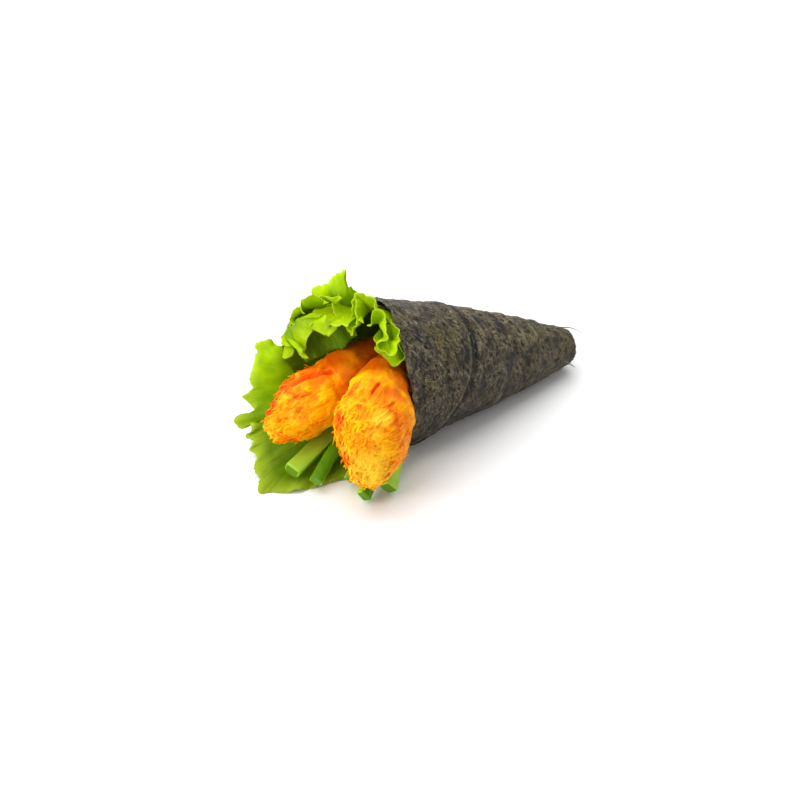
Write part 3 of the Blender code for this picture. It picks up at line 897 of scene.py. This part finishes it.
def lettuceBlade():
    # fresh frilled lettuce: thin, soft and translucent, glowing yellow-green where light comes through
    material, tree, shader, margin, along, tone = newMaterial("lettuceBlade", "margin", "along", "tone")
    place = addNode(tree, "ShaderNodeTexCoord", out="Object")
    cloud = addNode(tree, "ShaderNodeTexNoise", {"Vector": place, "Scale": 160.0, "Detail": 5.0})
    # veins run from the wall to the margin, about 3 mm apart
    fan = addNode(tree, "ShaderNodeCombineXYZ", {"X": along, "Y": margin})
    fanned = addNode(tree, "ShaderNodeMapping", {"Vector": fan, "Scale": (0.33, 2.6, 1)})
    veins = addNode(tree, "ShaderNodeTexNoise", {"Vector": fanned, "Scale": 1.0, "Detail": 3.0,
                                                 "Distortion": 1.4})
    shade = layered(tree, colour("#9fc900"), [
        (cloud, 0.35, 0.7, 1.0, "#c2e300"),
        # painted shade where tone is under 0.3: the lining near the table and the lobe in shade; above 0.3
        # each lobe's own paler tone
        (tone, 0.3, 0.0, 0.8, "#557f00"),
        (tone, 0.3, 1.0, 0.5, "#c6de00"),
        # painted shade towards the middle of each blade, in its hollows
        (margin, 0.88, 0.2, 0.85, "#6a9400"),
        (veins, 0.56, 0.70, 0.2, "#cfe418"),
        # painted highlight along the very margin
        (margin, 0.93, 1.0, 0.5, "#dcec40")])
    bump = addNode(tree, "ShaderNodeBump", {"Height": cloud, "Strength": 0.35, "Distance": 0.3 * mm})
    feed(tree, shader, {"Base Color": shade, "Normal": bump, "Roughness": 0.40, "Specular IOR Level": 0.08})
    glow = addNode(tree, "ShaderNodeBsdfTranslucent", {"Color": shade, "Normal": bump})
    both = addNode(tree, "ShaderNodeMixShader", {0: 0.4, 1: shader.outputs[0], 2: glow})
    feed(tree, tree.nodes["Material Output"], {"Surface": both})
    return material


dress(makeLettuce(lettuceBlade()), "lettuce", "lettuce_leaf")
print("lettuce is laid")

# the two prawns in batter: a smoother inner part, and a flaky outer end with torn edges
batter = {
    "voxel": 0.6,         # of the mesh that the skin is modelled on
    "lump": 0.6,          # height of the broad lumps
    "ridge": 0.40,        # height of the streaks that run along the prawn
    "ridgeWidth": 1.15,
    "stretch": 0.14,      # width of a streak as a share of its length
    "layer": 0.30,        # height of the overlapping layers, and their spacing along the prawn
    "layerStep": 5.5,
    "flakes": {
        "seeds": (1, 2, 3),
        "length": 3.2,
        "width": 0.9,
        "perSquare": 0.9,     # on each square mm of the most ragged batter
        "apart": 0.9,
        "swing": ((-0.3, -0.28, -0.3), (0.3, 0.05, 0.3)),      # least and most turn in radians
        "size": ((0.5, 0.6, 0.8), (1.2, 1.3, 1.2)),
    },
    "prawns": {
        # crease: a sunken line through x, y, z, and how far it reaches to both sides
        # red and pale: spots of deeper and lighter batter as x, y, z, reach and strength
        "prawnLeft": {
            "node": "prawn_left", "seed": 53,
            "crease": [(-10, -49, 33), (-8.5, -43.5, 34.2), (-7.4, -39.3, 35), (-5.9, -33.9, 35.3)],
            "creaseReach": 2.2,
            "red": [(-13, -49, 32, 6, 0.8), (-11, -39, 37, 9, 0.8), (-9, -59, 27, 5, 1.0),
                    (-12, -56, 26, 5, 0.9), (2, -57, 17, 5, 0.4)],
            "pale": [(2, -51, 27, 7, 0.4), (-6, -60, 21, 5, 0.5)],
        },
        "prawnRight": {
            "node": "prawn_right", "seed": 76,
            "crease": [(21.5, -28, 44.3), (24, -32.5, 44), (26.5, -36, 42.5)],
            "creaseReach": 1.1,
            "red": [(23, -29, 44.5, 7, 0.35), (20, -45, 34, 3.5, 0.8), (24, -46, 31, 3, 0.6),
                    (27, -47, 28, 3, 0.5), (30, -48, 25, 3.5, 0.8)],
            "pale": [(34, -33.5, 39.5, 3.5, 0.9), (36, -37.5, 36, 4, 0.6), (38, -37, 30, 5, 0.4),
                     (39, -42, 22, 9, 1.0)],
        },
    },
}


def solidCopy(node, name):
    # a CAD node's triangles as one clean closed mesh
    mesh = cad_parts[node].data.copy()
    shell = bmesh.new()
    shell.from_mesh(mesh)
    bmesh.ops.remove_doubles(shell, verts=shell.verts, dist=0.01 * mm)
    shell.to_mesh(mesh)
    shell.free()
    mesh.name = name
    copy = bpy.data.objects.new(name, mesh)
    bpy.context.collection.objects.link(copy)
    return copy


def meshArray(mesh, what, kind):
    numbers = np.zeros(len(mesh.vertices) * 3, np.float32)
    getattr(mesh, kind).foreach_get(what, numbers)
    return numbers.reshape(-1, 3).astype(float)


def nearSpots(points, spots):
    # how strongly each point belongs to the given spots, from 0 to 1
    total = np.zeros(len(points))
    for x, y, z, reach, strength in spots:
        distance = np.linalg.norm(points - (x, y, z), axis=1)
        total = np.maximum(total, strength * smoothStep(1.5 * reach, 0.3 * reach, distance))
    return total


def nearLine(points, line, reach):
    # 1 on a broken line through the given places, falling to 0 at the reach
    nearest = np.full(len(points), 1e3)
    for start, end in zip(np.array(line[:-1], float), np.array(line[1:], float)):
        share = np.clip((points - start) @ (end - start) / ((end - start) @ (end - start)), 0, 1)
        nearest = np.minimum(nearest, np.linalg.norm(points - start - share[:, None] * (end - start), axis=1))
    return smoothStep(reach, 0.25 * reach, nearest)


def prawnBody(name, values, material):
    seed = values["seed"]
    piece = solidCopy(values["node"], name)
    remesh = piece.modifiers.new("skin", "REMESH")
    remesh.mode = "VOXEL"
    remesh.voxel_size = batter["voxel"] * mm
    smooth = piece.modifiers.new("smooth", "SMOOTH")
    smooth.iterations = 8
    subdivide = piece.modifiers.new("fine", "SUBSURF")
    subdivide.levels = subdivide.render_levels = 1
    bakeModifiers(piece)
    mesh = piece.data
    points = meshArray(mesh, "co", "vertices") / mm
    normals = meshArray(mesh, "vector", "vertex_normals")
    centre = points.mean(axis=0)
    axis = np.linalg.svd(points[::7] - centre, full_matrices=False)[2][0]
    axis = axis if axis[1] < 0 else -axis      # towards the mouth
    along = (points - centre) @ axis
    share = (along - along.min()) / (along.max() - along.min())
    across = points - along[:, None] * axis
    # streaks follow the prawn, wander a little and are torn into layers
    wander = np.stack([lumps(points, 6.5, seed + k) for k in (11, 12, 13)], -1)
    stretched = across + along[:, None] * axis * batter["stretch"] + 0.7 * wander
    rough = smoothStep(0.60, 0.82, share + 0.12 * lumps(points, 5, seed))
    ragged = smoothStep(0.78, 0.97, share + 0.06 * lumps(points, 4, seed + 9))
    streak = (1 - np.abs(lumps(stretched, batter["ridgeWidth"], seed + 1))) ** 2
    thread = (1 - np.abs(lumps(stretched, 0.55 * batter["ridgeWidth"], seed + 2))) ** 2
    torn = along / batter["layerStep"] + 0.5 * lumps(stretched, 1.5, seed + 3)
    torn += 0.5 * lumps(points, 5.0, seed + 4)
    step = (torn - np.floor(torn)) ** 2
    height = batter["lump"] * lumps(points, 6.5, seed + 5) + 0.32 * lumps(points, 3.0, seed + 6)
    detail = batter["ridge"] * (streak - 0.45) + 0.45 * batter["ridge"] * (thread - 0.45)
    height = height + rough * (detail + batter["layer"] * (step - 0.33)) + (1 - rough) * 0.16 * (streak - 0.5)
    crease = nearLine(points + 0.8 * wander, values["crease"], values["creaseReach"])
    points += normals * (height - 1.1 * crease ** 2)[:, None]
    mesh.vertices.foreach_set("co", (points * mm).astype(np.float32).ravel())
    red = np.maximum(nearSpots(points + 1.2 * wander, values["red"]), crease)
    pale = nearSpots(points + 1.2 * wander, values["pale"])
    ragged = rough * np.clip(0.02 + 0.5 * ragged + 0.25 * red, 0, 1)
    storeValues(mesh, {"height": height, "rough": rough, "red": red, "pale": pale, "ragged": ragged})
    flow = mesh.attributes.new("flow", "FLOAT_VECTOR", "POINT")
    flow.data.foreach_set("vector", np.tile(axis, (len(points), 1)).astype(np.float32).ravel())
    mesh.materials.clear()
    mesh.materials.append(material)
    mesh.shade_smooth()
    return piece


def makeFlake(name, seed, material):
    # one thin torn plate of batter, its free end along +X, bent up a little
    lengths, widths = 7, 4
    across = np.linspace(-0.5, 0.5, widths)
    rows = []
    for i in range(lengths):
        x = i / (lengths - 1)
        torn = 0.24 * lumps([[0, j * 0.9, seed] for j in range(widths)], 1.0, seed) if x == 1 else 0 * across
        wide = batter["flakes"]["width"] * (0.55 + 0.6 * math.sin(math.pi * (0.1 + 0.75 * x)) ** 0.8)
        wide *= 1 + 0.22 * float(lumps([x * 5, 0, seed], 1.0, seed))
        lift = 0.32 * x ** 2 + 0.35 * across ** 2
        lift += 0.10 * lumps([[x * 4, a * 4, 0] for a in across], 1.0, seed)
        length = (x - 0.35 + torn) * batter["flakes"]["length"]
        rows.append(np.stack([length, across * wide + 0.15 * math.sin(seed + 3 * x), lift], axis=-1))
    top = np.array(rows).reshape(-1, 3)
    thin = np.repeat(np.linspace(0.26, 0.12, lengths), widths)[:, None] * (0, 0, 1)
    return makePiece(name, np.vstack([top, top - thin]), thinSheetFaces(lengths, widths)[:, ::-1], material)


def friedBatter():
    # tempura batter: crisp thin layers, deep orange in the hollows and golden yellow on the crests, partly
    # painted shade and painted highlight
    names = ("height", "tone", "pale", "rough", "red")
    material, tree, shader, height, tone, pale, rough, red = newMaterial("friedBatter", *names)
    place = addNode(tree, "ShaderNodeTexCoord", out="Object")
    broad = addNode(tree, "ShaderNodeTexNoise", {"Vector": place, "Scale": 110.0, "Detail": 4.0})
    small = addNode(tree, "ShaderNodeTexNoise", {"Vector": place, "Scale": 520.0, "Detail": 4.0})
    raised = addNode(tree, "ShaderNodeMath", {0: height, 1: small}, operation="ADD")
    raised = addNode(tree, "ShaderNodeMath", {0: tone, 1: 0.3, 2: raised}, operation="MULTIPLY_ADD")
    smoother = layered(tree, colour("#d04a00"), [(broad, 0.35, 0.65, 1.0, "#ea760a")])
    shade = layered(tree, colour("#e25a00"), [
        # painted shade in the hollows and painted highlight on the crests, over the batter's own orange and
        # yellow
        (raised, -0.15, 0.40, 1.0, "#fa9200"),
        (raised, 0.35, 0.95, 1.0, "#ffbe00"),
        (broad, 0.52, 0.70, 0.6, "#ffa800"),
        (pale, 0.2, 0.9, 0.8, "#ffcc30"),
        (rough, 0.75, 0.1, 0.85, smoother),
        (red, 0.15, 0.95, 0.9, "#ee3a00")])
    bump = addNode(tree, "ShaderNodeBump", {"Height": small, "Strength": 0.5, "Distance": 0.3 * mm})
    feed(tree, shader, {"Base Color": shade, "Normal": bump, "Roughness": 0.42, "Specular IOR Level": 0.08,
                        "Subsurface Weight": 0.12, "Subsurface Radius": (1.0, 0.4, 0.1),
                        "Subsurface Scale": 0.7 * mm})
    return material


crust = friedBatter()
flake = batter["flakes"]
flakeKinds = [makeFlake(f"flake{seed}", seed, crust) for seed in flake["seeds"]]
flakeTree = scatterNodes("batterFlakes", flakeKinds, crust, flake["swing"], flake["size"])
flakes = []
for name, values in batter["prawns"].items():
    prawn = dress(prawnBody(name, values, crust), "prawn_batter", values["node"])
    amounts = {"Per square mm": flake["perSquare"], "Apart": flake["apart"] * mm, "Seed": values["seed"]}
    flakes.append(scatter(prawn, flakeTree, amounts))
dress(joined("batterFlakes", flakes), "prawn_batter")
for kind in flakeKinds:
    bpy.data.objects.remove(kind)
print("prawns are fried")

# raw cucumber cut in strips, with the skin left on one side; mm and degrees
cucumber = {
    "edge": 0.35,         # how much the cut edges are rounded
    "steps": 14,
    "below": 0.42,        # share of a strip's height under its centre line
    # centre line as (x, height over the table, t), then width, height and the turn of the skin side
    "sticks": [
        ([(-9, 11, 66), (-6, 9.6, 85), (1.5, 8.6, 102.5), (13, 7.0, 125)], 6.0, 4.4, 200),
        ([(0, 9.0, 70), (3, 8.6, 90), (9, 8.0, 104), (21, 5.4, 119)], 4.8, 4.2, 20),
        ([(7, 12, 62), (10.5, 11, 83), (24, 7.2, 95), (36, 3.7, 107)], 4.8, 4.6, 60),
        ([(12.5, 14.8, 62), (16.8, 14.8, 81), (25.4, 11.6, 89.5), (37.6, 4.8, 98)], 6.4, 4.6, 240),
        ([(8, 9.0, 88), (14, 8.8, 95), (26, 5.0, 108)], 3.4, 3.4, 40),
    ],
}


def stickProfile(width, height):
    # three cut sides and a rounded skin side, with softened edges: (across, up, how much skin)
    half, low, top = width / 2, -cucumber["below"] * height, 0.2 * height
    e = cucumber["edge"]
    side = [(half - 0.3 * e, low + 0.3 * e, 0), (half, low + e, 0), (half, low * 0.4, 0), (half, top - e, 0),
            (half, top - 0.1, 0.6)]
    line = [(-half + e, low, 0), (-half * 0.33, low - 0.02, 0), (half * 0.33, low, 0), (half - e, low, 0)]
    line += side
    for k in range(1, 12):
        a = math.pi * k / 12
        line.append((half * math.cos(a), top + 0.3 * height * math.sin(a) ** 0.8, 1.0))
    return line + [(-x, y, skin) for x, y, skin in side[::-1]]


def makeStick(name, points, width, height, turn, seed, material):
    cosTilt, sinTilt = math.cos(roll["tilt"]), math.sin(roll["tilt"])
    path = curveThrough(points, cucumber["steps"])
    lift = path[:, 1] - roll["lift"] - roll["tipRadius"] * cosTilt - path[:, 2] * sinTilt
    centres = fromAxes(path[:, 0], lift / cosTilt, path[:, 2])
    ahead, side, top = directions(centres)
    angle = math.radians(turn)
    across, up, skin = np.array(stickProfile(width, height)).T
    a = across * math.cos(angle) - up * math.sin(angle)
    b = across * math.sin(angle) + up * math.cos(angle)
    # the ends are cut a little aslant, with a soft rim
    last = len(centres) - 1
    offsets = [(0, 0.94, 0), (0, 1, 0.25)] + [(i, 1, 0) for i in range(1, last)]
    offsets += [(last, 1, -0.25), (last, 0.94, 0)]
    rings = []
    for i, share, push in offsets:
        slant = {0: -0.12, last: 0.12}.get(i, 0)
        ring = centres[i] + (side[i] * a[:, None] + top[i] * b[:, None]) * share
        rings.append(ring + ahead[i] * (push + slant * up[:, None]))
    rings = np.array(rings)
    rings += 0.07 * np.stack([lumps(rings, 2.0, seed + k) for k in range(3)], -1)
    # each end face has two smaller rings and a middle point
    ends = rings[[0, -1]]
    middles = ends.mean(axis=1)
    inner = [middles[:, None] + (ends - middles[:, None]) * share for share in (0.45, 0.82)]
    rings = np.concatenate([[inner[0][0], inner[1][0]], rings, [inner[1][1], inner[0][1]]])
    rows, columns = rings.shape[:2]
    # the end faces are marked cut, and the material colours them darker as painted shade
    cut = np.ones((rows, columns))
    cut[2:-2] = 0
    heart = 1 - np.clip(np.abs(up + cucumber["below"] * height) / (0.9 * height), 0, 1)
    values = {"skin": np.append((1 - cut) * skin, [0, 0]), "heart": np.append((1 - cut) * heart, [0, 0]),
              "cut": np.append(cut, [1, 1])}
    faces = gridFaces(rows, columns, True)[:, ::-1].tolist()
    faces += np.vstack(endFans(rows, columns))[:, ::-1].tolist()
    return makePiece(name, np.vstack([rings.reshape(-1, 3), middles]), faces, material, values=values)


def cutCucumber():
    # raw cucumber: wet translucent flesh, paler at the heart, under a dark green waxy skin
    material, tree, shader, skin, heart, cut = newMaterial("cutCucumber", "skin", "heart", "cut")
    place = addNode(tree, "ShaderNodeTexCoord", out="Object")
    cloud = addNode(tree, "ShaderNodeTexNoise", {"Vector": place, "Scale": 260.0, "Detail": 4.0})
    broad = addNode(tree, "ShaderNodeTexNoise", {"Vector": place, "Scale": 70.0, "Detail": 2.0})
    flesh = layered(tree, colour("#78be08"), [
        (cloud, 0.3, 0.7, 1.0, "#9ace26"),
        (heart, 0.5, 1.0, 0.45, "#b4d24c")])
    peel = layered(tree, colour("#3f7206"), [(broad, 0.4, 0.65, 1.0, "#5c9410")])
    # painted shade: the cut end faces are darker than the same flesh on the sides
    shade = layered(tree, flesh, [(skin, 0.25, 0.75, 1.0, peel), (cut, 0.1, 0.6, 1.0, "#5c8204")])
    bump = addNode(tree, "ShaderNodeBump", {"Height": cloud, "Strength": 0.25, "Distance": 0.3 * mm})
    feed(tree, shader, {"Base Color": shade, "Normal": bump, "Roughness": 0.30, "Specular IOR Level": 0.15,
                        "Subsurface Weight": 0.1, "Subsurface Radius": (0.6, 1.0, 0.15),
                        "Subsurface Scale": 1.2 * mm})
    return material


freshCut = cutCucumber()
for number, (points, width, height, turn) in enumerate(cucumber["sticks"], 1):
    stick = makeStick(f"cucumberStick{number}", points, width, height, turn, 80 + number, freshCut)
    dress(stick, "cucumber", f"cucumber_stick_{number}")
print("cucumber is cut")
